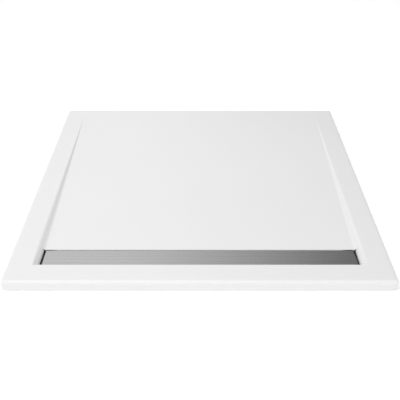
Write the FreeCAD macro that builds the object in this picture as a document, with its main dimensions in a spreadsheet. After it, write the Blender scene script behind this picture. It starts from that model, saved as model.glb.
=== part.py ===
import FreeCAD, Part
import os
import re
import Sketcher

# A square low shower tray with a linear drain behind its front rim, and the trap under it.
# The origin is the centre of the tray's underside: +Z up, +X right, +Y to the back.
# The drain lies near the front face, and the trap hangs below the underside.

# Driving sizes in millimetres: the alias in the sheet, the value and what it measures.
SIZES = [
    ("tray_width", 900, "tray, left to right"),
    ("tray_depth", 900, "tray, front to back"),
    ("tray_thickness", 25, "underside to the top of the rim"),
    ("corner_radius", 9, "upright corners of the tray"),
    ("top_edge_radius", 8.5, "rounding of the rim's outer edge"),
    ("bottom_edge_radius", 1.2, "rounding of the skin's lower edge"),
    ("rim_width", 61, "level rim, outer face to recess"),
    ("floor_drop", 12, "rim down to the floor's low edge"),
    ("wall_run", 12, "slope of the end walls, measured level"),
    ("trough_width", 72, "trough, front to back, from the recess's front wall"),
    ("trough_depth", 21, "floor's low edge down to the trough's floor"),
    ("trough_corner_radius", 4, "upright corners of the trough"),
    ("cap_thickness", 3, "acrylic skin"),
    ("core_wall", 6, "cast core beside the trough"),
    ("core_under_trough", 8, "cast core under the trough"),
    ("mat_thickness", 1, "glass-fibre mat on the underside"),
    ("cover_side_gap", 2, "cover to trough, front and back"),
    ("cover_end_gap", 4.5, "cover to trough, left and right"),
    ("cover_sheet", 1.5, "sheet of the cover"),
    ("cover_height", 10, "cover with its turned-down edges"),
    ("cover_bend_radius", 2, "outer bend of the cover's edges"),
    ("bracket_sheet", 1.5, "sheet of a support bracket"),
    ("bracket_width", 24, "bracket along the cover"),
    ("bracket_span", 26, "bracket between the outsides of its legs"),
    ("bracket_foot", 11, "foot of a bracket beyond its leg"),
    ("bracket_inset", 88, "cover's end to the middle of the end bracket"),
    ("foot_height", 2.7, "rubber foot under a bracket"),
    ("foot_radius", 4.5, "rubber foot under a bracket"),
    ("bumper_length", 18, "rubber bumper along the cover"),
    ("bumper_height", 4, "rubber bumper, up and down"),
    ("bumper_drop", 4, "cover's top down to a bumper's top"),
    ("bumper_inset", 73, "cover's end to the middle of the end bumper"),
    ("seat_gap", 0.3, "lift-out piece above its seat"),
    ("fit_gap", 0.05, "round piece in its hole, all round"),
    ("waste_hole_radius", 27, "hole through the trough's floor"),
    ("flange_radius", 32, "waste flange"),
    ("flange_rim_thickness", 2, "waste flange over its gasket"),
    ("flange_step_depth", 1.6, "seat of the strainer in the flange"),
    ("flange_step_radius", 28.6, "seat of the strainer in the flange"),
    ("flange_side_gap", 1, "flange to the edge of its recess"),
    ("flange_gasket_thickness", 1.5, "gasket under the waste flange"),
    ("neck_drop", 0.5, "trap's neck below the recess floor"),
    ("neck_gap", 0.6, "trap's neck to the waste hole"),
    ("throat_radius", 19.5, "opening through flange and neck"),
    ("screw_circle_radius", 23, "circle of the flange screws"),
    ("screw_radius", 2, "shank of a flange screw"),
    ("screw_head_radius", 3.6, "head of a flange screw"),
    ("screw_head_height", 1.6, "head of a flange screw"),
    ("screw_length", 11, "flange screw with its head"),
    ("screw_drive_radius", 1.3, "hexagon socket of a screw"),
    ("insert_radius", 2.7, "brass insert"),
    ("insert_length", 7, "brass insert"),
    ("body_gasket_thickness", 3, "gasket between tray and trap"),
    ("body_gasket_radius", 40, "gasket between tray and trap"),
    ("trap_radius", 42, "trap, outside"),
    ("trap_wall", 2.5, "wall of the trap"),
    ("trap_plate_thickness", 4, "top plate of the trap"),
    ("weld_lip_height", 5, "lip that joins the trap's halves"),
    ("seat_depth", 8, "neck's top down to the dip tube's seat"),
    ("dip_tube_radius", 16.4, "dip tube, outside"),
    ("dip_tube_wall", 3, "wall of the dip tube"),
    ("dip_tube_rim", 2.5, "rim of the dip tube"),
    ("dip_bore_gap", 0.8, "dip tube to its bore"),
    ("lift_bar_width", 4, "bar to lift the dip tube by"),
    ("ring_section_radius", 1.2, "O-ring, its own section"),
    ("ring_drop", 3, "dip tube's seat down to the O-ring"),
    ("water_seal", 50, "outlet's invert down to the dip tube's end"),
    ("sump_depth", 7.5, "dip tube's end down to the trap's floor"),
    ("outlet_bore_radius", 17, "outlet from the trap"),
    ("pipe_socket_radius", 20.5, "socket for a 40 mm waste pipe"),
    ("pipe_socket_depth", 30, "socket for a 40 mm waste pipe"),
    ("outlet_stub_radius", 24, "outlet stub, outside"),
    ("collar_reach", 4, "outlet's collar, out from the trap's side"),
    ("outlet_neck", 4, "outlet's collar to the shoulder that stops the pipe"),
    ("spigot_depth", 2, "outlet's spigot in the collar"),
    ("spigot_wall", 2.5, "outlet's spigot"),
    ("outlet_drop", 1, "top plate down to the outlet stub"),
    ("seal_length", 5, "rubber seal at the outlet"),
    ("washer_thickness", 1.5, "slip washer at the outlet"),
    ("nut_radius", 29.5, "outlet nut, outside"),
    ("nut_cover", 14, "outlet nut over the stub"),
    ("nut_lip", 2.5, "lip of the outlet nut"),
    ("nut_thread_gap", 0.1, "outlet nut around the stub"),
    ("grip_radius", 3, "finger groove of the outlet nut"),
    ("strainer_sheet", 1.2, "sheet of the hair strainer"),
    ("strainer_side_gap", 0.4, "strainer to the edge of its seat"),
    ("basket_radius", 16, "basket of the hair strainer"),
    ("basket_depth", 6.3, "basket of the hair strainer"),
    ("strainer_hole_radius", 1.8, "hole in the basket's floor"),
    ("strainer_hole_circle", 9.5, "circle of the basket's holes"),
    ("strainer_knob_radius", 2.5, "knob to lift the strainer by"),
    ("strainer_knob_height", 8, "knob above the basket's floor"),
]

# Counts of repeated pieces.
BRACKETS = 4
BUMPERS_A_SIDE = 3
STRAINER_HOLES = 10
NUT_GRIPS = 12

# Places worked out from the sizes.
FORMULAS = {
    "recess_half": "tray_width / 2 - rim_width",
    "trough_half": "recess_half - wall_run",
    "trough_front": "rim_width - tray_depth / 2",
    "trough_back": "trough_front + trough_width",
    "recess_back": "tray_depth / 2 - rim_width",
    "waste_y": "trough_front + trough_width / 2",
    "low_floor": "tray_thickness - floor_drop",
    "trough_floor": "low_floor - trough_depth",
    "recess_radius": "flange_radius + flange_side_gap",
    "recess_depth": "flange_rim_thickness + flange_gasket_thickness",
    "recess_floor": "trough_floor - recess_depth",
    "boss_bottom": "trough_floor - cap_thickness - core_under_trough",
    "cover_half_length": "trough_half - cover_end_gap",
    "cover_half_width": "trough_width / 2 - cover_side_gap",
    "neck_top": "recess_floor - neck_drop",
    "neck_radius": "waste_hole_radius - neck_gap",
    "plate_top": "boss_bottom - body_gasket_thickness",
    "plate_bottom": "plate_top - trap_plate_thickness",
    "trap_inside": "trap_radius - trap_wall",
    "strainer_seat": "trough_floor - flange_step_depth",
    "dip_seat": "neck_top - seat_depth",
    "dip_bore": "dip_tube_radius + dip_bore_gap",
    "outlet_z": "plate_bottom - outlet_drop - outlet_stub_radius",
    "dip_bottom": "outlet_z - outlet_bore_radius - water_seal",
    "trap_floor": "dip_bottom - sump_depth",
    "ring_z": "dip_seat + seat_gap - ring_drop",
    "ring_circle": "dip_bore - fit_gap - ring_section_radius",
    "collar_end": "trap_radius + collar_reach",
    "collar_seat": "collar_end - spigot_depth",
    "pipe_stop": "collar_end + outlet_neck",
    "seal_start": "pipe_stop + pipe_socket_depth",
    "washer_start": "seal_start + seal_length",
    "lip_start": "washer_start + washer_thickness",
    "nut_end": "lip_start + nut_lip",
    "nut_start": "seal_start - nut_cover",
    "basket_floor": "strainer_seat + seat_gap - basket_depth",
}

# How far the recess is cut past the top of the rim, so that the cut is clean.
OVERCUT = 2
FINE = 1e-4

ALIASES = {alias for alias, _, _ in SIZES}
doc = FreeCAD.newDocument("ShowerTray")


def ex(formula):
    """The formula with each size read from the sheet and each worked-out place written out."""

    def swap(found):
        word = found.group()
        if word in FORMULAS:
            return f"({ex(FORMULAS[word])})"
        return f"Sizes.{word}" if word in ALIASES else word

    return re.sub(r"[a-z_]+", swap, str(formula))


def make_sheet():
    sheet = doc.addObject("Spreadsheet::Sheet", "Sizes")
    for row, (alias, size, meaning) in enumerate(SIZES, start=1):
        sheet.set(f"A{row}", meaning)
        sheet.set(f"B{row}", str(size))
        sheet.setAlias(f"B{row}", alias)
    doc.recompute()


def bind(thing, **formulas):
    """Tie properties to the sheet: a double underscore in a name stands for a dot."""
    for name, formula in formulas.items():
        thing.setExpression(name.replace("__", "."), ex(formula))


# ---- sketches and features -------------------------------------------------------------


def new_body(name, x="0", y="0", z="0"):
    body = doc.addObject("PartDesign::Body", name)
    body.Label = name
    bind(body, Placement__Base__x=x, Placement__Base__y=y, Placement__Base__z=z)
    return body


def datum(body, role):
    return next(item for item in body.Origin.OriginFeatures if item.Role == role)


def new_sketch(body, role, offset):
    sketch = body.newObject("Sketcher::SketchObject", body.Name + "Sketch")
    sketch.AttachmentSupport = (datum(body, role), [""])
    sketch.MapMode = "FlatFace"
    bind(sketch, AttachmentOffset__Base__z=offset)
    return sketch


def place_point(sketch, geometry, end, x, y):
    """Hold one point of a sketch at formulas x and y from the sketch's origin."""
    for kind, formula in (("DistanceX", x), ("DistanceY", y)):
        number = sketch.addConstraint(Sketcher.Constraint(kind, -1, 1, geometry, end, 1.0))
        sketch.setExpression(f"Constraints[{number}]", ex(formula))


def polygon(body, role, points, offset="0"):
    """A closed outline through points, each a pair of formulas, on a plane of the body."""
    sketch = new_sketch(body, role, offset)
    start = [FreeCAD.Vector(index, index * index, 0) for index in range(len(points))]
    for index, point in enumerate(start):
        sketch.addGeometry(Part.LineSegment(point, start[(index + 1) % len(start)]), False)
    for index, (x, y) in enumerate(points):
        before = (index - 1) % len(points)
        sketch.addConstraint(Sketcher.Constraint("Coincident", before, 2, index, 1))
        place_point(sketch, index, 1, x, y)
    return sketch


def rectangle(body, role, x_low, x_high, y_low, y_high, offset="0"):
    corners = [(x_low, y_low), (x_high, y_low), (x_high, y_high), (x_low, y_high)]
    return polygon(body, role, corners, offset)


def circles(body, role, rings, offset="0"):
    """Circles on a plane of the body, each given as formulas for x, y and radius."""
    sketch = new_sketch(body, role, offset)
    for index, (x, y, radius) in enumerate(rings):
        centre = FreeCAD.Vector(index, 0, 0)
        sketch.addGeometry(Part.Circle(centre, FreeCAD.Vector(0, 0, 1), 1.0 + index), False)
        place_point(sketch, index, 3, x, y)
        number = sketch.addConstraint(Sketcher.Constraint("Radius", index, 1.0 + index))
        sketch.setExpression(f"Constraints[{number}]", ex(radius))
    return sketch


def feature(body, kind, sketch, **formulas):
    made = body.newObject(f"PartDesign::{kind}", body.Name + kind)
    made.Profile = sketch
    bind(made, **formulas)
    body.Tip = made
    return made


def pad(body, sketch, length, back=False, both_ways=False):
    made = feature(body, "Pad", sketch, Length=length)
    made.Reversed = back
    made.Midplane = both_ways
    return made


def pocket(body, sketch, depth, back=False):
    made = feature(body, "Pocket", sketch, Length=depth)
    made.Reversed = back
    return made


def turn(body, points, kind="Revolution"):
    """A ring or cup turned about the body's own Z axis from an outline of (radius, z)."""
    sketch = polygon(body, "XZ_Plane", points)
    made = feature(body, kind, sketch)
    made.ReferenceAxis = (sketch, ["V_Axis"])
    made.Angle = 360
    return made


def pattern(body, original, count):
    """Repeat a feature round the body's own Z axis."""
    made = body.newObject("PartDesign::PolarPattern", body.Name + "Pattern")
    made.Originals = [original]
    made.Axis = (datum(body, "Z_Axis"), [""])
    made.Angle = 360
    made.Occurrences = count
    body.Tip = made
    return made


def round_edges(body, radius, wanted):
    """Round the edges of the body so far whose box passes the test wanted(box)."""
    doc.recompute()
    base = body.Tip
    edges = base.Shape.Edges
    names = [f"Edge{n}" for n, edge in enumerate(edges, start=1) if wanted(edge.BoundBox)]
    made = body.newObject("PartDesign::Fillet", body.Name + "Fillet")
    made.Base = (base, names)
    bind(made, Radius=radius)
    body.Tip = made
    return made


def upright(box):
    return box.XLength < FINE and box.YLength < FINE and box.ZLength > FINE


def level_at(z):
    return lambda box: box.ZLength < FINE and abs(box.ZMin - z) < FINE


# ---- the tray --------------------------------------------------------------------------


def recess_void(name, skin):
    """The room above the floor, grown by skin: a side outline met by an end outline."""
    brim = f"tray_thickness - {skin}"
    top = f"{brim} + {OVERCUT}"
    sill = f"low_floor - {skin}"
    front = f"trough_front - {skin}"
    side = new_body(f"{name}_side")
    fall = [
        (front, sill),
        ("trough_back", sill),
        ("recess_back", brim),
        ("recess_back", top),
        (front, top),
    ]
    pad(side, polygon(side, "YZ_Plane", fall), "tray_width", both_ways=True)
    end = new_body(f"{name}_end")
    low = f"(trough_half + {skin})"
    high = f"(trough_half + {skin} + (floor_drop + {OVERCUT}) * wall_run / floor_drop)"
    lean = [(f"-{low}", sill), (low, sill), (high, top), (f"-{high}", top)]
    pad(end, polygon(end, "XZ_Plane", lean), "tray_depth", both_ways=True)
    void = doc.addObject("Part::Common", name)
    void.Base = side
    void.Tool = end
    return void


def cut(name, base, tool):
    made = doc.addObject("Part::Cut", name)
    made.Base = base
    made.Tool = tool
    made.Label = name
    return made


def cut_trough(body, skin):
    """Cut the trough and the waste hole from the rim down, wider and deeper by skin."""
    front = f"trough_front - {skin}"
    back = f"trough_back + {skin}"
    half = f"(trough_half + {skin})"
    brim = f"tray_thickness - {skin}"
    outline = rectangle(body, "XY_Plane", f"-{half}", half, front, back, brim)
    pocket(body, outline, "floor_drop + trough_depth")
    doc.recompute()
    trough = outline.Shape.BoundBox

    def trough_corner(box):
        return (
            upright(box)
            and abs(abs(box.XMin) - trough.XMax) < FINE
            and min(abs(box.YMin - trough.YMin), abs(box.YMin - trough.YMax)) < FINE
        )

    round_edges(body, f"trough_corner_radius + {skin}", trough_corner)
    waste = ("0", "waste_y")
    seat = circles(
        body, "XY_Plane", [(*waste, f"recess_radius + {skin}")], f"trough_floor - {skin}"
    )
    pocket(body, seat, "recess_depth")
    hole = circles(body, "XY_Plane", [(*waste, "waste_hole_radius")], f"recess_floor - {skin}")
    pocket(body, hole, "cap_thickness + core_under_trough")


def tray_block(body, inset, bottom):
    """The tray's block with rounded corners, inset on five sides, from bottom upwards."""
    half_x = f"tray_width / 2 - {inset}"
    half_y = f"tray_depth / 2 - {inset}"
    outline = rectangle(
        body, "XY_Plane", f"-({half_x})", half_x, f"-({half_y})", half_y, bottom
    )
    pad(body, outline, f"tray_thickness - {inset} - {bottom}")
    round_edges(body, f"corner_radius - {inset}", upright)
    doc.recompute()
    top = body.Shape.BoundBox.ZMax
    radius = f"min(top_edge_radius; corner_radius - 0.5) - {inset}"
    round_edges(body, radius, level_at(top))


def trough_boss(body, extra, bottom, top):
    """A block under the trough, wider than it by extra."""
    half = f"trough_half + {extra}"
    front = f"trough_front - {extra}"
    back = f"trough_back + {extra}"
    outline = rectangle(body, "XY_Plane", f"-({half})", half, front, back, bottom)
    pad(body, outline, f"{top} - ({bottom})")


def outer_form():
    """Everything inside the tray's outer surface, the trough's skin included."""
    body = new_body("outer_form")
    tray_block(body, "0", "0")
    round_edges(body, "bottom_edge_radius", level_at(0))
    trough_boss(body, "cap_thickness", "trough_floor - cap_thickness", "0")
    recess = circles(
        body,
        "XY_Plane",
        [("0", "waste_y", "recess_radius + cap_thickness")],
        "recess_floor - cap_thickness",
    )
    pad(body, recess, "recess_depth + cap_thickness")
    cut_trough(body, "0")
    return cut("outer_form_cut", body, recess_void("outer_void", "0"))


def stone_resin_core():
    """The cast core inside the skin, with its boss around the trough."""
    body = new_body("core_form")
    tray_block(body, "cap_thickness", "mat_thickness")
    trough_boss(body, "(cap_thickness + core_wall)", "boss_bottom", "mat_thickness")
    cut_trough(body, "cap_thickness")
    return cut("stone_resin_core", body, recess_void("core_void", "cap_thickness"))


def backing_mat():
    """The mat on the underside of the core, round the trough's boss."""
    body = new_body("backing_mat")
    half_x = "tray_width / 2 - cap_thickness"
    half_y = "tray_depth / 2 - cap_thickness"
    sheet = rectangle(body, "XY_Plane", f"-({half_x})", half_x, f"-({half_y})", half_y)
    pad(body, sheet, "mat_thickness")
    round_edges(body, "corner_radius - cap_thickness", upright)
    half = "trough_half + cap_thickness + core_wall"
    front = "trough_front - cap_thickness - core_wall"
    back = "trough_back + cap_thickness + core_wall"
    opening = rectangle(body, "XY_Plane", f"-({half})", half, front, back)
    pocket(body, opening, "mat_thickness", back=True)
    return body


def acrylic_cap(form, core, mat):
    """The formed skin: the outer form less the core and the mat behind it."""
    return cut("acrylic_cap", cut("hollow_form", form, core), mat)


# ---- the drain cover -------------------------------------------------------------------


def drain_cover():
    """The pressed cover, open below: its own origin is the middle of its top face."""
    body = new_body("drain_cover", y="waste_y", z="low_floor")
    long_half = "cover_half_length"
    wide_half = "cover_half_width"
    outline = rectangle(
        body, "XY_Plane", f"-({long_half})", long_half, f"-({wide_half})", wide_half
    )
    pad(body, outline, "cover_height", back=True)
    round_edges(body, "cover_bend_radius + 0.5", upright)
    round_edges(body, "cover_bend_radius", level_at(0))
    long_in = "(cover_half_length - cover_sheet)"
    wide_in = "(cover_half_width - cover_sheet)"
    inside = rectangle(
        body, "XY_Plane", f"-{long_in}", long_in, f"-{wide_in}", wide_in, "-cover_height"
    )
    pocket(body, inside, "cover_height - cover_sheet", back=True)
    return body


def along_cover(number, count, inset):
    """The x of one of a row of pieces: the end ones are inset from the cover's ends."""
    share = number / (count - 1) * 2 - 1
    return f"(cover_half_length - {inset}) * ({share})"


def cover_bracket(number):
    """One folded hat bracket under the cover: its origin is the middle of its top face."""
    along = along_cover(number, BRACKETS, "bracket_inset")
    name = f"cover_bracket_{number + 1}"
    body = new_body(name, x=along, y="waste_y", z="low_floor - cover_sheet")
    leg = "(bracket_span / 2)"
    toe = f"({leg} + bracket_foot - bracket_sheet)"
    sheet = "bracket_sheet"
    sole = "-(trough_depth - cover_sheet - foot_height - seat_gap)"
    right = [
        (leg, "0"),
        (leg, f"{sole} + {sheet}"),
        (toe, f"{sole} + {sheet}"),
        (toe, sole),
        (f"{leg} - {sheet}", sole),
        (f"{leg} - {sheet}", f"-{sheet}"),
    ]
    left = [(f"-({x})", z) for x, z in reversed(right)]
    pad(body, polygon(body, "YZ_Plane", right + left), "bracket_width", both_ways=True)
    return body


def group(name, pieces):
    """Identical pieces as one sub-part of separate solids."""
    made = doc.addObject("Part::Compound", name)
    made.Label = name
    made.Links = pieces
    return made


def cover_feet():
    """A rubber foot under each foot of each bracket."""
    feet = []
    middle = "(bracket_span / 2 - bracket_sheet + bracket_foot / 2)"
    for number in range(BRACKETS):
        for side in (-1, 1):
            foot = doc.addObject("Part::Cylinder", "foot")
            along = along_cover(number, BRACKETS, "bracket_inset")
            bind(foot, Radius="foot_radius", Height="foot_height", Placement__Base__x=along)
            bind(foot, Placement__Base__y=f"waste_y + {side} * {middle}")
            bind(foot, Placement__Base__z="trough_floor + seat_gap")
            feet.append(foot)
    return group("cover_feet", feet)


def cover_bumpers():
    """Rubber bumpers on the long edges that keep the cover in the middle of the trough."""
    bumpers = []
    thick = "(cover_side_gap - seat_gap)"
    for number in range(BUMPERS_A_SIDE):
        for face in (f"-cover_half_width - {thick}", "cover_half_width"):
            bumper = doc.addObject("Part::Box", "bumper")
            middle = along_cover(number, BUMPERS_A_SIDE, "bumper_inset")
            along = f"{middle} - bumper_length / 2"
            bind(bumper, Length="bumper_length", Width=thick, Height="bumper_height")
            bind(bumper, Placement__Base__x=along, Placement__Base__y=f"waste_y + {face}")
            bind(bumper, Placement__Base__z="low_floor - bumper_drop - bumper_height")
            bumpers.append(bumper)
    return group("cover_bumpers", bumpers)


# ---- the waste and its trap ------------------------------------------------------------


def screw_places():
    """Formulas for the x and y of each flange screw from the waste's axis."""
    reach = "screw_circle_radius * {}(45 deg)"
    return [
        (f"{x} * {reach.format('cos')}", f"{y} * {reach.format('sin')}")
        for x in (-1, 1)
        for y in (-1, 1)
    ]


def waste_flange():
    """The metal ring on the trough's floor, with a seat for the strainer."""
    body = new_body("waste_flange", y="waste_y")
    turn(
        body,
        [
            ("throat_radius", "neck_top"),
            ("neck_radius", "neck_top"),
            ("neck_radius", "recess_floor + flange_gasket_thickness"),
            ("flange_radius", "recess_floor + flange_gasket_thickness"),
            ("flange_radius", "trough_floor - flange_rim_thickness / 4"),
            ("flange_radius - flange_rim_thickness / 4", "trough_floor"),
            ("flange_step_radius", "trough_floor"),
            ("flange_step_radius", "strainer_seat"),
            ("throat_radius", "strainer_seat"),
        ],
    )
    holes = [(x, y, "screw_radius + fit_gap") for x, y in screw_places()]
    pocket(body, circles(body, "XY_Plane", holes, "strainer_seat"), "neck_drop * 2 + recess_depth")
    heads = [(x, y, "screw_head_radius + fit_gap") for x, y in screw_places()]
    pocket(body, circles(body, "XY_Plane", heads, "strainer_seat"), "screw_head_height")
    return body


def flange_gasket():
    """The flat ring between the waste flange and the trough's floor."""
    body = new_body("flange_gasket", y="waste_y")
    turn(
        body,
        [
            ("waste_hole_radius", "recess_floor"),
            ("flange_radius", "recess_floor"),
            ("flange_radius", "recess_floor + flange_gasket_thickness"),
            ("waste_hole_radius", "recess_floor + flange_gasket_thickness"),
        ],
    )
    return body


def flange_screws():
    """Screws with flat heads and a hexagon socket, down through the flange."""
    screws = []
    for x, y in screw_places():
        head = doc.addObject("Part::Cylinder", "head")
        bind(head, Radius="screw_head_radius", Height="screw_head_height")
        bind(head, Placement__Base__z="strainer_seat - screw_head_height")
        shank = doc.addObject("Part::Cylinder", "shank")
        bind(shank, Radius="screw_radius", Height="screw_length - screw_head_height / 2")
        bind(shank, Placement__Base__z="strainer_seat - screw_length")
        socket = doc.addObject("Part::Prism", "socket")
        socket.Polygon = 6
        bind(socket, Circumradius="screw_drive_radius", Height="screw_head_height")
        bind(socket, Placement__Base__z="strainer_seat - screw_head_height / 2")
        whole = doc.addObject("Part::MultiFuse", "screw_blank")
        whole.Shapes = [head, shank]
        screw = cut("screw", whole, socket)
        for piece in (head, shank, socket):
            bind(piece, Placement__Base__x=x, Placement__Base__y=f"waste_y + {y}")
        screws.append(screw)
    return group("flange_screws", screws)


def screw_inserts():
    """Brass inserts in the trap's neck that take the screws."""
    inserts = []
    for x, y in screw_places():
        outside = doc.addObject("Part::Cylinder", "insert_outside")
        bind(outside, Radius="insert_radius", Height="insert_length")
        bore = doc.addObject("Part::Cylinder", "insert_bore")
        bind(bore, Radius="screw_radius + fit_gap", Height="insert_length")
        for piece in (outside, bore):
            bind(piece, Placement__Base__x=x, Placement__Base__y=f"waste_y + {y}")
            bind(piece, Placement__Base__z="neck_top - insert_length")
        insert = cut("insert", outside, bore)
        inserts.append(insert)
    return group("screw_inserts", inserts)


def hair_strainer():
    """The lift-out sieve: a wide rim on the flange and a shallow basket with a knob."""
    body = new_body("hair_strainer", y="waste_y")
    rim = "strainer_seat + seat_gap"
    inner = "basket_radius - strainer_sheet"
    turn(
        body,
        [
            ("0", "basket_floor"),
            ("basket_radius", "basket_floor"),
            ("basket_radius", rim),
            ("flange_step_radius - strainer_side_gap", rim),
            ("flange_step_radius - strainer_side_gap", f"{rim} + strainer_sheet"),
            (inner, f"{rim} + strainer_sheet"),
            (inner, "basket_floor + strainer_sheet"),
            ("strainer_knob_radius", "basket_floor + strainer_sheet"),
            ("strainer_knob_radius", "basket_floor + strainer_knob_height"),
            ("0", "basket_floor + strainer_knob_height"),
        ],
    )
    hole = circles(
        body,
        "XY_Plane",
        [("strainer_hole_circle", "0", "strainer_hole_radius")],
        "basket_floor + strainer_sheet",
    )
    pattern(body, pocket(body, hole, "strainer_sheet"), STRAINER_HOLES)
    return body


def dip_tube():
    """The lift-out tube that dips into the trap's water, with a groove and a lifting bar."""
    body = new_body("dip_tube", y="waste_y")
    seat = "dip_seat + seat_gap"
    inner = "dip_tube_radius - dip_tube_wall"
    rim = "throat_radius - seat_gap"
    groove_radius = "ring_circle - ring_section_radius - fit_gap"
    groove_low = "ring_z - ring_section_radius - fit_gap"
    groove_high = "ring_z + ring_section_radius + fit_gap"
    turn(
        body,
        [
            (inner, "dip_bottom"),
            ("dip_tube_radius", "dip_bottom"),
            ("dip_tube_radius", groove_low),
            (groove_radius, groove_low),
            (groove_radius, groove_high),
            ("dip_tube_radius", groove_high),
            ("dip_tube_radius", seat),
            (rim, seat),
            (rim, f"{seat} + dip_tube_rim"),
            (inner, f"{seat} + dip_tube_rim"),
        ],
    )
    reach = f"({inner} + dip_tube_wall / 2)"
    half = "lift_bar_width / 2"
    bar = rectangle(body, "XY_Plane", f"-{reach}", reach, f"-{half}", half, seat)
    pad(body, bar, "dip_tube_rim")
    return body


def dip_tube_ring():
    """The O-ring that seals the dip tube in its bore."""
    ring = doc.addObject("Part::Torus", "dip_tube_ring")
    ring.Label = "dip_tube_ring"
    bind(ring, Radius1="ring_circle", Radius2="ring_section_radius")
    bind(ring, Placement__Base__y="waste_y", Placement__Base__z="ring_z")
    return ring


def body_gasket():
    """The thick ring between the underside of the trough and the trap."""
    body = new_body("body_gasket", y="waste_y")
    turn(
        body,
        [
            ("waste_hole_radius", "plate_top"),
            ("body_gasket_radius", "plate_top"),
            ("body_gasket_radius", "boss_bottom"),
            ("waste_hole_radius", "boss_bottom"),
        ],
    )
    return body


def trap_upper():
    """The trap's top half: the neck up through the waste hole, the plate and the lip."""
    body = new_body("trap_upper", y="waste_y")
    lip = "trap_inside - fit_gap"
    turn(
        body,
        [
            ("throat_radius", "neck_top"),
            ("neck_radius", "neck_top"),
            ("neck_radius", "plate_top"),
            ("trap_radius", "plate_top"),
            ("trap_radius", "plate_bottom"),
            (lip, "plate_bottom"),
            (lip, "plate_bottom - weld_lip_height"),
            (f"{lip} - trap_wall", "plate_bottom - weld_lip_height"),
            (f"{lip} - trap_wall", "plate_bottom"),
            ("dip_bore", "plate_bottom"),
            ("dip_bore", "dip_seat"),
            ("throat_radius", "dip_seat"),
        ],
    )
    holes = [(x, y, "insert_radius + fit_gap") for x, y in screw_places()]
    depth = "screw_length + insert_length / 4"
    pocket(body, circles(body, "XY_Plane", holes, "neck_top"), depth)
    return body


def trap_lower():
    """The trap's cup, with a short collar for the outlet on its back."""
    body = new_body("trap_lower", y="waste_y")
    floor = "trap_floor"
    turn(
        body,
        [
            ("0", f"{floor} - trap_wall"),
            ("trap_radius - trap_wall", f"{floor} - trap_wall"),
            ("trap_radius", floor),
            ("trap_radius", "plate_bottom"),
            ("0", "plate_bottom"),
        ],
    )
    centre = ("0", "outlet_z")
    stub = circles(body, "XZ_Plane", [(*centre, "outlet_stub_radius")])
    pad(body, stub, "collar_end", back=True)
    turn(
        body,
        [
            ("0", floor),
            ("trap_inside", floor),
            ("trap_inside", "plate_bottom"),
            ("0", "plate_bottom"),
        ],
        "Groove",
    )
    bore = circles(body, "XZ_Plane", [(*centre, "outlet_bore_radius")])
    pocket(body, bore, "collar_end")
    recess = [(*centre, "outlet_bore_radius + spigot_wall")]
    seat = circles(body, "XZ_Plane", recess, "-(collar_seat)")
    pocket(body, seat, "spigot_depth")
    return body


def outlet_ring(name, points):
    """A ring turned about the outlet's axis: points are (radius, distance from the trap)."""
    body = new_body(name, y="waste_y", z="outlet_z")
    body.Placement.Rotation = FreeCAD.Rotation(FreeCAD.Vector(1, 0, 0), -90)
    turn(body, points)
    return body


def trap_outlet():
    """The outlet, welded on the trap's collar, with the socket for the waste pipe."""
    spigot = "outlet_bore_radius + spigot_wall - fit_gap"
    return outlet_ring(
        "trap_outlet",
        [
            ("outlet_bore_radius", "collar_seat + fit_gap"),
            (spigot, "collar_seat + fit_gap"),
            (spigot, "collar_end"),
            ("outlet_stub_radius", "collar_end"),
            ("outlet_stub_radius", "seal_start"),
            ("pipe_socket_radius", "seal_start"),
            ("pipe_socket_radius", "pipe_stop"),
            ("outlet_bore_radius", "pipe_stop"),
        ],
    )


def flat_ring(name, inside, outside, start, end):
    return outlet_ring(name, [(inside, start), (outside, start), (outside, end), (inside, end)])


def outlet_seal():
    """The rubber cone that grips the waste pipe in front of the socket."""
    return outlet_ring(
        "outlet_seal",
        [
            ("pipe_socket_radius", "seal_start"),
            ("outlet_stub_radius", "seal_start"),
            ("outlet_stub_radius - fit_gap", "seal_start + seal_length / 3"),
            ("(pipe_socket_radius + outlet_stub_radius) / 2", "washer_start"),
            ("pipe_socket_radius", "washer_start"),
        ],
    )


def outlet_washer():
    """The slip washer between the seal and the nut."""
    return flat_ring(
        "outlet_washer",
        "pipe_socket_radius + fit_gap",
        "outlet_stub_radius",
        "washer_start",
        "lip_start",
    )


def outlet_nut():
    """The union nut over the outlet's end, with finger grooves round it."""
    inside = "outlet_stub_radius + nut_thread_gap"
    body = outlet_ring(
        "outlet_nut",
        [
            (inside, "nut_start"),
            ("nut_radius", "nut_start"),
            ("nut_radius", "nut_end"),
            ("pipe_socket_radius + nut_thread_gap", "nut_end"),
            ("pipe_socket_radius + nut_thread_gap", "lip_start"),
            (inside, "lip_start"),
        ],
    )
    away = "nut_radius + grip_radius / 2"
    grip = circles(body, "XY_Plane", [(away, "0", "grip_radius")], "nut_start")
    pattern(body, pocket(body, grip, "nut_end - nut_start", back=True), NUT_GRIPS)
    return body


# ---- build, check and write ------------------------------------------------------------


def build():
    form = outer_form()
    core = stone_resin_core()
    mat = backing_mat()
    nodes = [core, mat, acrylic_cap(form, core, mat), drain_cover()]
    nodes += [cover_bracket(number) for number in range(BRACKETS)]
    nodes += [
        cover_feet(),
        cover_bumpers(),
        waste_flange(),
        flange_gasket(),
        flange_screws(),
        screw_inserts(),
        hair_strainer(),
        dip_tube(),
        dip_tube_ring(),
        body_gasket(),
        trap_upper(),
        trap_lower(),
        trap_outlet(),
        outlet_seal(),
        outlet_washer(),
        outlet_nut(),
    ]
    doc.recompute()
    return nodes


def check(nodes):
    """Stop if any object failed or any sub-part isn't a valid solid."""
    for item in doc.Objects:
        if "Invalid" in item.State or "Error" in item.State:
            raise RuntimeError(f"{item.Label}: {item.State}")
    for node in nodes:
        if node.Shape.isNull() or not node.Shape.isValid() or not node.Shape.Solids:
            raise RuntimeError(f"{node.Label} has no valid solid")


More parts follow.
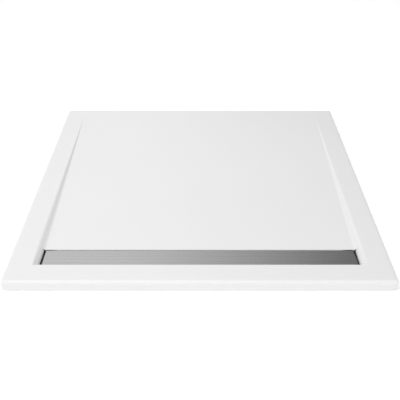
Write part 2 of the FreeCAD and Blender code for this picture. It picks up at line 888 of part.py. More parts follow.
def write(nodes):
    os.makedirs("parts", exist_ok=True)
    for node in nodes:
        node.Shape.exportStep(f"parts/{node.Label}.step")
        box = node.Shape.BoundBox
        count = len(node.Shape.Solids)
        volume = node.Shape.Volume / 1000
        spans = f"x {box.XMin:.1f}..{box.XMax:.1f} y {box.YMin:.1f}..{box.YMax:.1f}"
        print(f"{node.Label:18s} {count} solids {volume:9.2f} cm3 {spans} z {box.ZMin:.1f}..{box.ZMax:.1f}")


make_sheet()
sub_parts = build()
check(sub_parts)
write(sub_parts)
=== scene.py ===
import math

import bmesh
import bpy
from mathutils import Matrix, Vector


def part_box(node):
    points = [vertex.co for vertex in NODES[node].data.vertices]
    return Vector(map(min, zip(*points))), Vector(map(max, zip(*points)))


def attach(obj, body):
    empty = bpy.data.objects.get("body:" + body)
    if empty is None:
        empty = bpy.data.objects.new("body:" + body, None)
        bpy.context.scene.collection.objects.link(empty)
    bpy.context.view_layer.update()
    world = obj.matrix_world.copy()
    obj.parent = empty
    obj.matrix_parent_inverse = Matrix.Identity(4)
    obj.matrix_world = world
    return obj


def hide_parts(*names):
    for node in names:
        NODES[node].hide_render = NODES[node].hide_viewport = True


# The looks of a square white shower tray with a linear drain, in metres.
# +X is right, +Y is back and +Z is up; z = 0 is the tray's underside.

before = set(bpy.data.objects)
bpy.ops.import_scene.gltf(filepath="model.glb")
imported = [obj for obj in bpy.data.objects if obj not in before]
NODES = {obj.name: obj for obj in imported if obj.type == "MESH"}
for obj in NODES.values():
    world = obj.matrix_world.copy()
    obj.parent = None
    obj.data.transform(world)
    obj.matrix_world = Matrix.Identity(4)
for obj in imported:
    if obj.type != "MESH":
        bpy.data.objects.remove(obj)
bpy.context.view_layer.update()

# ---- places read from the frame ---------------------------------------------------------

TRAY_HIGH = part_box("acrylic_cap")[1]
COVER_LOW, COVER_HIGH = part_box("drain_cover")
HALF_WIDTH = TRAY_HIGH.x
HALF_DEPTH = TRAY_HIGH.y
RIM_TOP = TRAY_HIGH.z
LOW_FLOOR = COVER_HIGH.z
TROUGH_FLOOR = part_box("waste_flange")[1].z
WASTE_Y = (COVER_LOW.y + COVER_HIGH.y) / 2

# ---- sizes of the tray's skin -----------------------------------------------------------

RIM_WIDTH = 0.061
WALL_RUN = 0.012
COVER_SIDE_GAP = 0.002
SKIN = 0.003
CORNER_RADIUS = 0.009
TOP_RADIUS = 0.0085
BOTTOM_RADIUS = 0.0006
# Where the level rim turns down into the leaning side wall, and where that wall's foot
# turns into the floor.
LIP_RADIUS = 0.011
COVE_RADIUS = 0.010
# The share of that lip's rounding which is left where it meets the trough's front wall.
LIP_SHARE = 0.27
# The rounding of the edge between the rim and the trough's front wall.
FRONT_LIP = 0.002
# The round shoulder in which a side wall drops into the trough's end, and the room that
# its rounding needs above it on the wall.
END_LIP = 0.0085
SHOULDER_ROOM = 0.0002
FLANGE_RECESS_RADIUS = 0.033
FLANGE_RECESS_DEPTH = 0.0035
WASTE_HOLE_RADIUS = 0.027
# The recess dies out at the back, where its walls are this share as wide.
BACK_SHARE = 0.003
# The recess's section starts this much too wide and too high, to be trimmed.
SECTION_SPARE = 0.02

RECESS_HALF = HALF_WIDTH - RIM_WIDTH
TROUGH_HALF = RECESS_HALF - WALL_RUN
TROUGH_FRONT = COVER_LOW.y - COVER_SIDE_GAP
TROUGH_BACK = COVER_HIGH.y + COVER_SIDE_GAP
RECESS_BACK = HALF_DEPTH - RIM_WIDTH
FLOOR_DROP = RIM_TOP - LOW_FLOOR

# The steps of each rounding.
CORNER_STEPS = 8
TOP_STEPS = 10
BOTTOM_STEPS = 3
LIP_STEPS = 8
COVE_STEPS = 14
END_LIP_STEPS = 12
FRONT_LIP_STEPS = 4
WASTE_STEPS = 64

# ---- sizes of the cover -----------------------------------------------------------------

COVER_SHEET = 0.0015
COVER_BEND = 0.0016
COVER_CORNER = 0.002
COVER_BEND_STEPS = 6
COVER_CORNER_STEPS = 4

# ---- limits for finding faces, edges and points -----------------------------------------

# Two heights or places this near are the same, and an edge this short is a sliver.
CLOSE = 1e-5
SLIVER = 1e-6
# Heights are compared to this many decimals.
HEIGHT_DECIMALS = 6
# A direction whose part along an axis is at least this lies along it.
ALONG_AXIS = 0.999
# An edge sharper than this is drawn sharp.
SHARP_ANGLE = math.radians(38)


# ---- small helpers ----------------------------------------------------------------------


def add_thing(name, data):
    thing = bpy.data.objects.new(name, data)
    bpy.context.scene.collection.objects.link(thing)
    return thing


def box_mesh(low, high):
    """A bmesh with one box between two corners."""
    bm = bmesh.new()
    bmesh.ops.create_cube(bm, size=1.0)
    size = Vector(high) - Vector(low)
    bmesh.ops.scale(bm, vec=size, verts=bm.verts)
    bmesh.ops.translate(bm, vec=(Vector(low) + Vector(high)) / 2, verts=bm.verts)
    return bm


def bevel(bm, geom, offset, steps, affect, clamp):
    return bmesh.ops.bevel(
        bm,
        geom=geom,
        offset=offset,
        offset_type="OFFSET",
        segments=steps,
        profile=0.5,
        affect=affect,
        clamp_overlap=clamp,
        material=-1,
    )


def round_edges(bm, edges, offset, steps, clamp=True):
    bevel(bm, edges, offset, steps, "EDGES", clamp)


def round_corners(bm, verts, offset, steps):
    """Round corners of a flat outline; returns the points of the rounding."""
    made = bevel(bm, verts, offset, steps, "VERTICES", True)
    return set(made["verts"])


def extrude(bm, edges):
    """Extrude edges without moving them; returns the new edges and the new points."""
    made = bmesh.ops.extrude_edge_only(bm, edges=edges)["geom"]
    new_edges = [e for e in made if isinstance(e, bmesh.types.BMEdge)]
    return new_edges, [v for v in made if isinstance(v, bmesh.types.BMVert)]


def open_edges(bm, wanted):
    """The edges on an opening whose two ends both pass a test of their place."""
    return [e for e in bm.edges if e.is_boundary and all(wanted(v.co) for v in e.verts)]


def fill_level(bm, edges):
    """Fill a level outline, with any openings in it, the same way in each run."""
    bmesh.ops.triangle_fill(bm, edges=edges, use_beauty=True, normal=(0, 0, 1))


def edges_among(bm, verts):
    return [e for e in bm.edges if e.verts[0] in verts and e.verts[1] in verts]


def upright_edges(bm):
    return [
        e
        for e in bm.edges
        if abs((e.verts[1].co - e.verts[0].co).normalized().z) > ALONG_AXIS
    ]


def height(face):
    return round(face.calc_center_median().z, HEIGHT_DECIMALS)


def highest_face(bm):
    """The highest face, and of several as high the largest."""
    return max(bm.faces, key=lambda f: (height(f), f.calc_area()))


def lowest_face(bm):
    """The lowest face, and of several as low the largest."""
    return min(bm.faces, key=lambda f: (height(f), -f.calc_area()))


def face_up(bm, chosen):
    """Turn an open skin's faces the same way, with the face that is chosen looking up."""
    bmesh.ops.recalc_face_normals(bm, faces=bm.faces)
    if chosen(bm).normal.z < 0:
        bmesh.ops.reverse_faces(bm, faces=bm.faces)


def new_piece(bm, name, material, body, replaced):
    """Turn a bmesh into a smooth piece that rides on a body and stands for CAD nodes."""
    mesh = bpy.data.meshes.new(name)
    bm.to_mesh(mesh)
    bm.free()
    mesh.shade_smooth()
    mesh.set_sharp_from_angle(angle=SHARP_ANGLE)
    mesh.materials.append(material)
    piece = add_thing(name, mesh)
    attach(piece, body)
    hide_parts(*replaced)
    return piece


def give_wall(piece, thickness):
    """Thicken an open skin inwards, and keep its flat faces flat beside round edges."""
    wall = piece.modifiers.new("wall", "SOLIDIFY")
    wall.thickness = thickness
    wall.offset = -1.0
    weighted = piece.modifiers.new("weighted_normals", "WEIGHTED_NORMAL")
    weighted.keep_sharp = True


# ---- small helpers for materials --------------------------------------------------------

# The sockets of a Mix node's two colours, and of the colour that it puts out.
MIX_FIRST = 6
MIX_SECOND = 7
MIX_RESULT = 2

# Most of a noise texture's values lie in the first range, and nearly all in the second.
NOISE_MOST = (0.35, 0.65)
NOISE_ALL = (0.3, 0.7)


def grey(value):
    return (value, value, value)


def feed(tree, value, socket):
    """Link a socket's value to another, or set a plain one."""
    if isinstance(value, bpy.types.NodeSocket):
        tree.links.new(value, socket)
    else:
        socket.default_value = value


def noise(tree, vector, scale, detail):
    """A noise texture read at a vector: scale is a number or a socket."""
    texture = tree.nodes.new("ShaderNodeTexNoise")
    tree.links.new(vector, texture.inputs["Vector"])
    texture.inputs["Detail"].default_value = detail
    feed(tree, scale, texture.inputs["Scale"])
    return texture.outputs["Fac"]


def spread(tree, value, low, high, to_low=0.0, to_high=1.0):
    """Stretch a value from low..high to another range: the ends may be sockets."""
    ramp = tree.nodes.new("ShaderNodeMapRange")
    tree.links.new(value, ramp.inputs["Value"])
    ramp.inputs["From Min"].default_value = low
    ramp.inputs["From Max"].default_value = high
    feed(tree, to_low, ramp.inputs["To Min"])
    feed(tree, to_high, ramp.inputs["To Max"])
    return ramp.outputs["Result"]


def calculate(tree, operation, first, second):
    """Two values added, multiplied or compared, each a socket."""
    step = tree.nodes.new("ShaderNodeMath")
    step.operation = operation
    tree.links.new(first, step.inputs[0])
    tree.links.new(second, step.inputs[1])
    return step.outputs["Value"]


def change_vector(tree, operation, vector, other=None):
    """A vector put through one step of vector maths, with a second one where it needs it."""
    step = tree.nodes.new("ShaderNodeVectorMath")
    step.operation = operation
    tree.links.new(vector, step.inputs[0])
    if other is not None:
        feed(tree, other, step.inputs[1])
    return step.outputs


def blend_colours(tree, share, first, second):
    """Mix two colours, each a colour or a socket."""
    mix = tree.nodes.new("ShaderNodeMix")
    mix.data_type = "RGBA"
    tree.links.new(share, mix.inputs["Factor"])
    for index, colour in ((MIX_FIRST, first), (MIX_SECOND, second)):
        value = (*colour, 1) if isinstance(colour, tuple) else colour
        feed(tree, value, mix.inputs[index])
    return mix.outputs[MIX_RESULT]


def object_place(tree):
    return tree.nodes.new("ShaderNodeTexCoord").outputs["Object"]


# ---- node groups ------------------------------------------------------------------------

GRAIN_DETAIL = 4.0
DRIFT_DETAIL = 3.0
LINE_DETAIL = 3.0
# The scale of the broad brushed lines and of the fine ones.
BROAD_LINES = 0.2
FINE_LINES = 1.0


def new_group(name, inputs, outputs):
    """A shader group with its sockets, its input node and its output node."""
    group = bpy.data.node_groups.new(name, "ShaderNodeTree")
    for label, kind, value in inputs:
        socket = group.interface.new_socket(label, in_out="INPUT", socket_type=kind)
        socket.default_value = value
    for label, kind in outputs:
        group.interface.new_socket(label, in_out="OUTPUT", socket_type=kind)
    return group, group.nodes.new("NodeGroupInput"), group.nodes.new("NodeGroupOutput")


def surface_grain_group():
    """An even grain of the surface: a roughness between two ends, and a height."""
    group, source, sink = new_group(
        "surface_grain",
        [
            ("Scale", "NodeSocketFloat", 400.0),
            ("Low", "NodeSocketFloat", 0.3),
            ("High", "NodeSocketFloat", 0.4),
        ],
        [("Roughness", "NodeSocketFloat"), ("Height", "NodeSocketFloat")],
    )
    grain = noise(group, object_place(group), source.outputs["Scale"], GRAIN_DETAIL)
    rough = spread(group, grain, *NOISE_MOST, source.outputs["Low"], source.outputs["High"])
    group.links.new(rough, sink.inputs["Roughness"])
    group.links.new(grain, sink.inputs["Height"])
    return group


def tone_drift_group():
    """A tone that wanders slowly between two colours."""
    group, source, sink = new_group(
        "tone_drift",
        [
            ("Scale", "NodeSocketFloat", 6.0),
            ("Tone", "NodeSocketColor", (0.8, 0.8, 0.8, 1)),
            ("Other Tone", "NodeSocketColor", (0.75, 0.75, 0.75, 1)),
        ],
        [("Color", "NodeSocketColor")],
    )
    drift = noise(group, object_place(group), source.outputs["Scale"], DRIFT_DETAIL)
    share = spread(group, drift, *NOISE_MOST)
    colour = blend_colours(group, share, source.outputs["Tone"], source.outputs["Other Tone"])
    group.links.new(colour, sink.inputs["Color"])
    return group


def brushed_lines_group():
    """Fine lines along X, as an abrasive belt leaves them: a broad and a fine mask."""
    group, source, sink = new_group(
        "brushed_lines",
        [("Along", "NodeSocketFloat", 5.0), ("Across", "NodeSocketFloat", 1800.0)],
        [("Broad", "NodeSocketFloat"), ("Fine", "NodeSocketFloat")],
    )
    scale = group.nodes.new("ShaderNodeCombineXYZ")
    for axis, label in (("X", "Along"), ("Y", "Across"), ("Z", "Across")):
        group.links.new(source.outputs[label], scale.inputs[axis])
    place = object_place(group)
    stretched = change_vector(group, "MULTIPLY", place, scale.outputs["Vector"])
    for label, size in (("Broad", BROAD_LINES), ("Fine", FINE_LINES)):
        lines = noise(group, stretched["Vector"], size, LINE_DETAIL)
        group.links.new(lines, sink.inputs[label])
    return group


GRAIN = surface_grain_group()
DRIFT = tone_drift_group()
LINES = brushed_lines_group()


# ---- materials --------------------------------------------------------------------------

# How deep a full bump is, in metres.
GRAIN_DEPTH = 0.0003
BRUSH_DEPTH = 0.00004

STEEL_DARK = 0.5
STEEL_LIGHT = 0.56
BRUSH_ALONG = 5.0
BRUSH_ACROSS = 1800.0
BRUSH_ROUGH = (0.2, 0.28)
BRUSH_BUMP = 0.12

# Painted shade: the acrylic's colour goes down to a near-black tone where a surface within
# GAP_REACH hides most of its view, standing in for the shadow deep in the gap at the
# trough's ends: all of it at the low share of open view and none at the high one. That holds
# up to the first distance from the middle of a trough's end, and fades by the second.
GAP_PAINTED_SHADE = 0.02
GAP_REACH = 0.012
GAP_SHADE = (0.4, 0.64)
GAP_PLACE = (0.038, 0.05)
GAP_SAMPLES = 16


def new_material(name, **shader):
    """A material, its tree and its shader, with values that are the same all over."""
    material = bpy.data.materials.new(name)
    material.use_nodes = True
    principled = material.node_tree.nodes["Principled BSDF"]
    for key, value in shader.items():
        principled.inputs[key.replace("_", " ")].default_value = value
    return material, material.node_tree, principled


def place_group(tree, group, **values):
    placed = tree.nodes.new("ShaderNodeGroup")
    placed.node_tree = group
    for key, value in values.items():
        placed.inputs[key.replace("_", " ")].default_value = value
    return placed.outputs


def add_bump(tree, principled, relief, strength, distance):
    bump = tree.nodes.new("ShaderNodeBump")
    bump.inputs["Strength"].default_value = strength
    bump.inputs["Distance"].default_value = distance
    tree.links.new(relief, bump.inputs["Height"])
    tree.links.new(bump.outputs["Normal"], principled.inputs["Normal"])


def grained_finish(name, tones, grain, rough, bump, drift, **shader):
    """A moulded, cast or turned finish: two close tones, grained gloss and light relief."""
    material, tree, principled = new_material(name, **shader)
    first, second = tones
    colour = place_group(tree, DRIFT, Scale=drift, Tone=(*first, 1), Other_Tone=(*second, 1))
    tree.links.new(colour["Color"], principled.inputs["Base Color"])
    relief = place_group(tree, GRAIN, Scale=grain, Low=rough[0], High=rough[1])
    tree.links.new(relief["Roughness"], principled.inputs["Roughness"])
    add_bump(tree, principled, relief["Height"], bump, GRAIN_DEPTH)
    return material


def from_trough_end(tree):
    """The distance, seen from above, from the middle of the nearer end of the trough."""
    folded = change_vector(tree, "ABSOLUTE", object_place(tree))["Vector"]
    level = change_vector(tree, "MULTIPLY", folded, (1, 1, 0))["Vector"]
    end = (TROUGH_HALF, -WASTE_Y, 0)
    return change_vector(tree, "DISTANCE", level, end)["Value"]


def white_acrylic():
    """Glossy white acrylic, with painted shade that darkens its colour deep in the gap at the
    trough's ends.
    """
    material = grained_finish(
        "white_acrylic",
        tones=(grey(0.9), grey(0.89)),
        grain=90.0,
        rough=(0.17, 0.21),
        bump=0.01,
        drift=2.5,
    )
    tree = material.node_tree
    base = tree.nodes["Principled BSDF"].inputs["Base Color"]
    unshaded = base.links[0].from_socket
    # Painted shade: ambient occlusion with a short reach turns the base colour near black
    # deep in the end gaps, standing in for their shadow.
    gap = tree.nodes.new("ShaderNodeAmbientOcclusion")
    gap.samples = GAP_SAMPLES
    gap.inputs["Distance"].default_value = GAP_REACH
    open_share = spread(tree, gap.outputs["AO"], *GAP_SHADE)
    outside = spread(tree, from_trough_end(tree), *GAP_PLACE)
    share = calculate(tree, "MAXIMUM", open_share, outside)
    tree.links.new(blend_colours(tree, share, grey(GAP_PAINTED_SHADE), unshaded), base)
    return material


def brushed_steel():
    """Stainless steel brushed along the cover."""
    material, tree, principled = new_material("brushed_steel", Metallic=1.0)
    lines = place_group(tree, LINES, Along=BRUSH_ALONG, Across=BRUSH_ACROSS)
    share = spread(tree, lines["Broad"], *NOISE_ALL)
    colour = blend_colours(tree, share, grey(STEEL_DARK), grey(STEEL_LIGHT))
    tree.links.new(colour, principled.inputs["Base Color"])
    shine = spread(tree, lines["Fine"], *NOISE_ALL, *BRUSH_ROUGH)
    tree.links.new(shine, principled.inputs["Roughness"])
    add_bump(tree, principled, lines["Fine"], BRUSH_BUMP, BRUSH_DEPTH)
    return material


ACRYLIC = white_acrylic()
BRUSHED = brushed_steel()
MILL_STEEL = grained_finish(
    "mill_steel",
    tones=(grey(0.5), grey(0.56)),
    grain=700.0,
    rough=(0.35, 0.5),
    bump=0.05,
    drift=30.0,
    Metallic=1.0,
)
POLISHED = grained_finish(
    "polished_steel",
    tones=(grey(0.66), grey(0.7)),
    grain=500.0,
    rough=(0.12, 0.2),
    bump=0.01,
    drift=30.0,
    Metallic=1.0,
)
SCREW_STEEL = grained_finish(
    "screw_steel",
    tones=(grey(0.5), grey(0.54)),
    grain=900.0,
    rough=(0.25, 0.38),
    bump=0.04,
    drift=60.0,
    Metallic=1.0,
)
BRASS = grained_finish(
    "brass",
    tones=((0.72, 0.5, 0.2), (0.66, 0.46, 0.2)),
    grain=700.0,
    rough=(0.25, 0.4),
    bump=0.05,
    drift=60.0,
    Metallic=1.0,
)
RUBBER = grained_finish(
    "black_rubber",
    tones=(grey(0.02), grey(0.03)),
    grain=900.0,
    rough=(0.5, 0.7),
    bump=0.15,
    drift=40.0,
)
RESIN = grained_finish(
    "cast_resin",
    tones=((0.5, 0.48, 0.44), (0.58, 0.56, 0.52)),
    grain=260.0,
    rough=(0.6, 0.85),
    bump=0.5,
    drift=18.0,
)
GLASS_MAT = grained_finish(
    "glass_mat",
    tones=((0.66, 0.66, 0.6), (0.74, 0.74, 0.68)),
    grain=350.0,
    rough=(0.5, 0.8),
    bump=0.6,
    drift=60.0,
)
GREY_PLASTIC = grained_finish(
    "grey_plastic",
    tones=(grey(0.16), grey(0.18)),
    grain=600.0,
    rough=(0.35, 0.45),
    bump=0.08,
    drift=20.0,
)
WHITE_PLASTIC = grained_finish(
    "white_plastic",
    tones=((0.74, 0.74, 0.72), (0.7, 0.7, 0.68)),
    grain=600.0,
    rough=(0.3, 0.42),
    bump=0.08,
    drift=12.0,
)

# The CAD nodes that are shown as they are; the skin and the cover are made anew below.
NODE_FINISH = {
    "stone_resin_core": RESIN,
    "backing_mat": GLASS_MAT,
    "cover_bracket_1": MILL_STEEL,
    "cover_bracket_2": MILL_STEEL,
    "cover_bracket_3": MILL_STEEL,
    "cover_bracket_4": MILL_STEEL,
    "cover_feet": RUBBER,
    "cover_bumpers": RUBBER,
    "waste_flange": POLISHED,
    "flange_gasket": RUBBER,
    "flange_screws": SCREW_STEEL,
    "screw_inserts": BRASS,
    "hair_strainer": POLISHED,
    "dip_tube": GREY_PLASTIC,
    "dip_tube_ring": RUBBER,
    "body_gasket": RUBBER,
    "trap_upper": WHITE_PLASTIC,
    "trap_lower": WHITE_PLASTIC,
    "trap_outlet": WHITE_PLASTIC,
    "outlet_seal": RUBBER,
    "outlet_washer": GREY_PLASTIC,
    "outlet_nut": WHITE_PLASTIC,
}


def finish_nodes():
    """Give each CAD node that is shown as it is its finish."""
    for name, finish in NODE_FINISH.items():
        thing = NODES[name]
        if not thing.material_slots:
            thing.data.materials.append(finish)
        for slot in thing.material_slots:
            slot.material = finish


# ---- the tray's skin --------------------------------------------------------------------


def outer_block():
    """The tray's rounded outside, open at the top and at the bottom."""
    bm = box_mesh((-HALF_WIDTH, -HALF_DEPTH, 0), (HALF_WIDTH, HALF_DEPTH, RIM_TOP))
    round_edges(bm, upright_edges(bm), CORNER_RADIUS, CORNER_STEPS)
    round_edges(bm, list(highest_face(bm).edges), TOP_RADIUS, TOP_STEPS)
    round_edges(bm, list(lowest_face(bm).edges), BOTTOM_RADIUS, BOTTOM_STEPS)
    ends = [highest_face(bm), lowest_face(bm)]
    bmesh.ops.delete(bm, geom=ends, context="FACES_ONLY")
    return bm


def mark_shoulders(edges, cove, setback):
    """Divide each leaning wall where the rounding of the trough's end will start."""
    shoulders = set()
    for edge in edges:
        feet = [v for v in edge.verts if v in cove]
        if len(feet) != 1:
            continue
        rise = END_LIP + SHOULDER_ROOM - setback
        split = bmesh.utils.edge_split(edge, feet[0], rise / edge.calc_length())
        shoulders.add(split[1])
    return shoulders


def recess_section(bm):
    """The recess cut across at the trough, as edges: lips, leaning walls, coves, floor.

    Returned with the points of its lips and those that mark its walls' shoulders.
    """
    lean = math.atan2(FLOOR_DROP, WALL_RUN)
    lip_setback = LIP_RADIUS * math.tan(lean / 2)
    cove_setback = COVE_RADIUS * math.tan(lean / 2)
    half = [
        (RECESS_HALF + SECTION_SPARE, RIM_TOP + SECTION_SPARE),
        (RECESS_HALF + SECTION_SPARE, RIM_TOP),
        (RECESS_HALF, RIM_TOP),
        (TROUGH_HALF, LOW_FLOOR),
    ]
    outline = half + [(-x, z) for x, z in reversed(half)]
    verts = [bm.verts.new((x, TROUGH_BACK, z)) for x, z in outline]
    bm.faces.new(verts)
    lips = [verts[2], verts[5]]
    feet = [verts[3], verts[4]]
    spare = [verts[0], verts[1], verts[6], verts[7]]
    lip = round_corners(bm, lips, lip_setback, LIP_STEPS)
    cove = round_corners(bm, feet, cove_setback, COVE_STEPS)
    bmesh.ops.delete(bm, geom=list(spare[0].link_faces), context="FACES_ONLY")
    bmesh.ops.delete(bm, geom=spare, context="VERTS")
    lip = {v for v in lip if v.is_valid}
    cove = {v for v in cove if v.is_valid}
    shoulders = mark_shoulders(edges_among(bm, lip | cove), cove, cove_setback)
    return edges_among(bm, lip | cove | shoulders), lip, shoulders


def run_recess_back(bm, section):
    """Carry the section to the back rim, where it has died out."""
    verts = extrude(bm, section)[1]
    for side in (-1, 1):
        half = [v for v in verts if v.co.x * side > 0]
        anchor = Matrix.Translation((-side * RECESS_HALF, -TROUGH_BACK, -RIM_TOP))
        bmesh.ops.scale(bm, vec=(BACK_SHARE, 1, 0), space=anchor, verts=half)
    bmesh.ops.translate(bm, vec=(0, RECESS_BACK - TROUGH_BACK, 0), verts=verts)


def trough_back_wall(bm, shoulders):
    """The trough's back wall, under the recess's floor, with a round shoulder at each end."""
    left, right = sorted(shoulders, key=lambda v: v.co.x)
    outline = [
        left.co,
        (-TROUGH_HALF, TROUGH_BACK, LOW_FLOOR),
        (-TROUGH_HALF, TROUGH_BACK, TROUGH_FLOOR),
        (TROUGH_HALF, TROUGH_BACK, TROUGH_FLOOR),
        (TROUGH_HALF, TROUGH_BACK, LOW_FLOOR),
        right.co,
    ]
    verts = [bm.verts.new(place) for place in outline]
    bm.faces.new(verts)
    round_corners(bm, [verts[1], verts[4]], END_LIP, END_LIP_STEPS)
    across = [e for e in verts[0].link_edges if verts[5] in e.verts]
    bmesh.ops.delete(bm, geom=across, context="EDGES")
    bmesh.ops.weld_verts(bm, targetmap={verts[0]: left, verts[5]: right})
    level = left.co.z + CLOSE
    ring = [
        e
        for e in bm.edges
        if all(abs(v.co.y - TROUGH_BACK) < CLOSE and v.co.z < level for v in e.verts)
    ]
    return bmesh.ops.contextual_create(bm, geom=ring)["faces"][0]


def run_trough_forward(bm, wall, section, lip):
    """Carry the rim's lips and the trough's ends to its front wall."""
    ends = [
        e
        for e in wall.edges
        if e.is_boundary and max(v.co.z for v in e.verts) > TROUGH_FLOOR + CLOSE
    ]
    leaning = [e for e in section if e not in set(wall.edges)]
    verts = extrude(bm, leaning + ends)[1]
    bmesh.ops.translate(bm, vec=(0, TROUGH_FRONT - TROUGH_BACK, 0), verts=verts)
    level = min(v.co.z for v in lip) - CLOSE
    for side in (-1, 1):
        rounded = [v for v in verts if v.co.x * side > 0 and v.co.z > level]
        anchor = Matrix.Translation((-side * RECESS_HALF, 0, -RIM_TOP))
        bmesh.ops.scale(bm, vec=(LIP_SHARE, 1, LIP_SHARE), space=anchor, verts=rounded)


def close_front(bm):
    """Put in the trough's front wall, up to the rim; returns the edge on the rim."""
    wall = open_edges(bm, lambda place: abs(place.y - TROUGH_FRONT) < CLOSE)
    ends = {}
    for level in (RIM_TOP, TROUGH_FLOOR):
        level_verts = {v for e in wall for v in e.verts if abs(v.co.z - level) < CLOSE}
        left = min(level_verts, key=lambda v: v.co.x)
        right = max(level_verts, key=lambda v: v.co.x)
        ends[level] = bm.edges.new((left, right))
    bmesh.ops.contextual_create(bm, geom=wall + list(ends.values()))
    return ends[RIM_TOP]


def trough_floor(bm):
    """The trough's floor with the flange's recess and the waste hole."""
    rim = open_edges(bm, lambda place: abs(place.z - TROUGH_FLOOR) < CLOSE)
    place = Matrix.Translation((0, WASTE_Y, TROUGH_FLOOR))
    circle = bmesh.ops.create_circle(
        bm, cap_ends=False, segments=WASTE_STEPS, radius=FLANGE_RECESS_RADIUS, matrix=place
    )["verts"]
    recess = edges_among(bm, set(circle))
    fill_level(bm, rim + recess)
    edges, lower = extrude(bm, recess)
    bmesh.ops.translate(bm, vec=(0, 0, -FLANGE_RECESS_DEPTH), verts=lower)
    hole = extrude(bm, [e for e in edges if e.is_boundary])[1]
    share = WASTE_HOLE_RADIUS / FLANGE_RECESS_RADIUS
    centre = Matrix.Translation((0, -WASTE_Y, 0))
    bmesh.ops.scale(bm, vec=(share, share, 1), space=centre, verts=hole)


def fill_rim(bm):
    """The level rim between the outside and the recess."""
    fill_level(bm, open_edges(bm, lambda place: place.z > RIM_TOP - CLOSE))


def divide_walls(bm):
    """Divide the trough's two long walls, whose outlines are hollow, into triangles."""
    bm.normal_update()
    walls = [f for f in bm.faces if len(f.verts) > 4 and abs(f.normal.y) > ALONG_AXIS]
    bmesh.ops.triangulate(bm, faces=walls)
    bmesh.ops.dissolve_degenerate(bm, dist=SLIVER, edges=bm.edges)


def tray_skin():
    """The acrylic skin: outside, level rim, falling floor, leaning walls and trough."""
    bm = outer_block()
    section, lip, shoulders = recess_section(bm)
    run_recess_back(bm, section)
    wall = trough_back_wall(bm, shoulders)
    run_trough_forward(bm, wall, section, lip)
    front_lip = close_front(bm)
    trough_floor(bm)
    fill_rim(bm)
    round_edges(bm, [front_lip], FRONT_LIP, FRONT_LIP_STEPS, clamp=False)
    divide_walls(bm)
    face_up(bm, highest_face)
    piece = new_piece(bm, "tray_skin", ACRYLIC, "tray", ["acrylic_cap"])
    give_wall(piece, SKIN)


# ---- the drain's cover ------------------------------------------------------------------


def cover_pan():
    """The pressed cover: a flat plate with rounded bends and turned-down edges."""
    bm = box_mesh(COVER_LOW, COVER_HIGH)
    round_edges(bm, upright_edges(bm), COVER_CORNER, COVER_CORNER_STEPS)
    round_edges(bm, list(highest_face(bm).edges), COVER_BEND, COVER_BEND_STEPS)
    bmesh.ops.delete(bm, geom=[lowest_face(bm)], context="FACES_ONLY")
    piece = new_piece(bm, "cover_pan", BRUSHED, "cover", ["drain_cover"])
    give_wall(piece, COVER_SHEET)


# ---- floor, light and camera ------------------------------------------------------------

FLOOR_RADIUS = 6.0
FLOOR_STEPS = 96
FLOOR_LEVEL = -0.0004
BACKDROP_HEIGHT = 0.6
# Half the width of the square opening in the floor, under the tray, for the trap.
OPENING = 0.43
PAPER_TONES = (0.97, 0.96)
PAPER_SCALE = 40.0
PAPER_DETAIL = 3.0
# What the paper adds of its own where the camera, a reflection or glass shows it.
PAPER_SHOWN = 0.2

# The sky is SKY_MIDDLE bright where nothing below changes it. Behind the tray it falls by
# SKY_LEAN from left to right, and stays between SKY_LOW and SKY_HIGH. SKY_FRONT is added
# where its direction points forwards, between the two limits along Y. SKY_SIDE is added
# on the right and taken off on the left, between the two limits along X.
SKY_MIDDLE = 0.9
SKY_LEAN = -3.4
SKY_LOW = 0.0
SKY_HIGH = 1.2
SKY_FRONT = 0.22
FRONT_START = 0.15
FRONT_FULL = -0.35
SKY_SIDE = 0.22
SIDE_START = 0.35
SIDE_FULL = 0.85

KEY_PLACE = (-0.85, -1.0, 2.8)
KEY_AIM = (0, 0, 0)
KEY_SIZE = 2.8
KEY_POWER = 25.0

# The lens and the sensor's width in millimetres, the tilt in degrees up from straight down.
LENS = 56.53
SENSOR_WIDTH = 36.0
CAMERA_PLACE = (0.0, -1.5265, 0.9498)
CAMERA_TILT = 56.772
CAMERA_SHIFT = 0.0006


def studio_white():
    """Pale paper: white to the camera and in reflections, with the object's shadow."""
    material = bpy.data.materials.new("studio_white")
    material.use_nodes = True
    tree = material.node_tree
    tree.nodes.clear()
    paper = tree.nodes.new("ShaderNodeBsdfDiffuse")
    fibre = noise(tree, object_place(tree), PAPER_SCALE, PAPER_DETAIL)
    share = spread(tree, fibre, *NOISE_ALL)
    colour = blend_colours(tree, share, grey(PAPER_TONES[0]), grey(PAPER_TONES[1]))
    tree.links.new(colour, paper.inputs["Color"])
    shown = tree.nodes.new("ShaderNodeEmission")
    path = tree.nodes.new("ShaderNodeLightPath").outputs
    seen = calculate(tree, "MAXIMUM", path["Is Camera Ray"], path["Is Glossy Ray"])
    either = calculate(tree, "MAXIMUM", seen, path["Is Transmission Ray"])
    level = spread(tree, either, 0.0, 1.0, 0.0, PAPER_SHOWN)
    tree.links.new(level, shown.inputs["Strength"])
    both = tree.nodes.new("ShaderNodeAddShader")
    tree.links.new(paper.outputs["BSDF"], both.inputs[0])
    tree.links.new(shown.outputs["Emission"], both.inputs[1])
    clear = tree.nodes.new("ShaderNodeBsdfTransparent")
    behind = tree.nodes.new("ShaderNodeNewGeometry")
    pick = tree.nodes.new("ShaderNodeMixShader")
    tree.links.new(behind.outputs["Backfacing"], pick.inputs["Fac"])
    tree.links.new(both.outputs["Shader"], pick.inputs[1])
    tree.links.new(clear.outputs["BSDF"], pick.inputs[2])
    output = tree.nodes.new("ShaderNodeOutputMaterial")
    tree.links.new(pick.outputs["Shader"], output.inputs["Surface"])
    return material


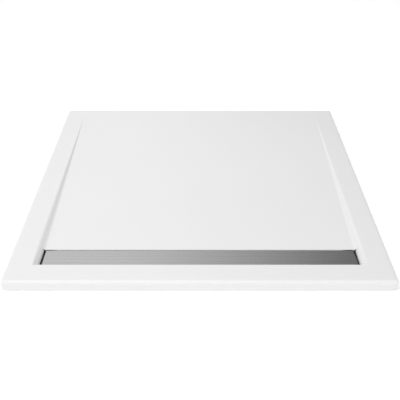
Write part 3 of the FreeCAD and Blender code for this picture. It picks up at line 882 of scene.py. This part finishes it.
def studio_floor():
    """The floor with an opening under the tray, and a low wall all round."""
    bm = bmesh.new()
    outer = bmesh.ops.create_circle(
        bm, cap_ends=False, segments=FLOOR_STEPS, radius=FLOOR_RADIUS
    )["verts"]
    square = bmesh.ops.create_grid(bm, x_segments=1, y_segments=1, size=OPENING)["verts"]
    bmesh.ops.delete(bm, geom=list(square[0].link_faces), context="FACES_ONLY")
    edge = edges_among(bm, set(outer))
    fill_level(bm, list(bm.edges))
    top = extrude(bm, edge)[1]
    bmesh.ops.translate(bm, vec=(0, 0, BACKDROP_HEIGHT), verts=top)
    bmesh.ops.translate(bm, vec=(0, 0, FLOOR_LEVEL), verts=bm.verts)
    face_up(bm, lowest_face)
    mesh = bpy.data.meshes.new("studio_floor")
    bm.to_mesh(mesh)
    bm.free()
    mesh.materials.append(studio_white())
    add_thing("studio_floor", mesh)


def studio_sky():
    """Soft light from all round, with next to none from behind on the right."""
    world = bpy.data.worlds.new("studio_sky")
    bpy.context.scene.world = world
    world.use_nodes = True
    tree = world.node_tree
    tree.nodes.clear()
    direction = tree.nodes.new("ShaderNodeTexCoord").outputs["Generated"]
    parts = tree.nodes.new("ShaderNodeSeparateXYZ")
    tree.links.new(direction, parts.inputs["Vector"])
    across, backwards = parts.outputs["X"], parts.outputs["Y"]
    behind = spread(tree, backwards, 0.0, 1.0)
    corner = calculate(tree, "MULTIPLY", across, behind)
    high_at = (SKY_HIGH - SKY_MIDDLE) / SKY_LEAN
    low_at = (SKY_LOW - SKY_MIDDLE) / SKY_LEAN
    total = spread(tree, corner, high_at, low_at, SKY_HIGH, SKY_LOW)
    for share in (
        spread(tree, backwards, FRONT_START, FRONT_FULL, 0.0, SKY_FRONT),
        spread(tree, across, -SIDE_START, -SIDE_FULL, 0.0, -SKY_SIDE),
        spread(tree, across, SIDE_START, SIDE_FULL, 0.0, SKY_SIDE),
    ):
        total = calculate(tree, "ADD", total, share)
    sky = tree.nodes.new("ShaderNodeBackground")
    tree.links.new(total, sky.inputs["Strength"])
    output = tree.nodes.new("ShaderNodeOutputWorld")
    tree.links.new(sky.outputs["Background"], output.inputs["Surface"])


def key_light():
    """A square soft box above the front left."""
    lamp = bpy.data.lights.new("key_light", "AREA")
    lamp.shape = "SQUARE"
    lamp.size = KEY_SIZE
    lamp.energy = KEY_POWER
    thing = add_thing("key_light", lamp)
    thing.location = KEY_PLACE
    aim = Vector(KEY_AIM) - Vector(KEY_PLACE)
    thing.rotation_euler = aim.to_track_quat("-Z", "Y").to_euler()


def camera():
    """The camera at the photograph's place and angle."""
    lens = bpy.data.cameras.new("camera")
    lens.lens = LENS
    lens.sensor_width = SENSOR_WIDTH
    lens.shift_x = CAMERA_SHIFT
    eye = add_thing("camera", lens)
    eye.location = CAMERA_PLACE
    eye.rotation_euler = (math.radians(CAMERA_TILT), 0, 0)
    bpy.context.scene.camera = eye


bpy.context.scene.view_settings.view_transform = "Standard"
camera()
studio_floor()
studio_sky()
key_light()
finish_nodes()
tray_skin()
cover_pan()
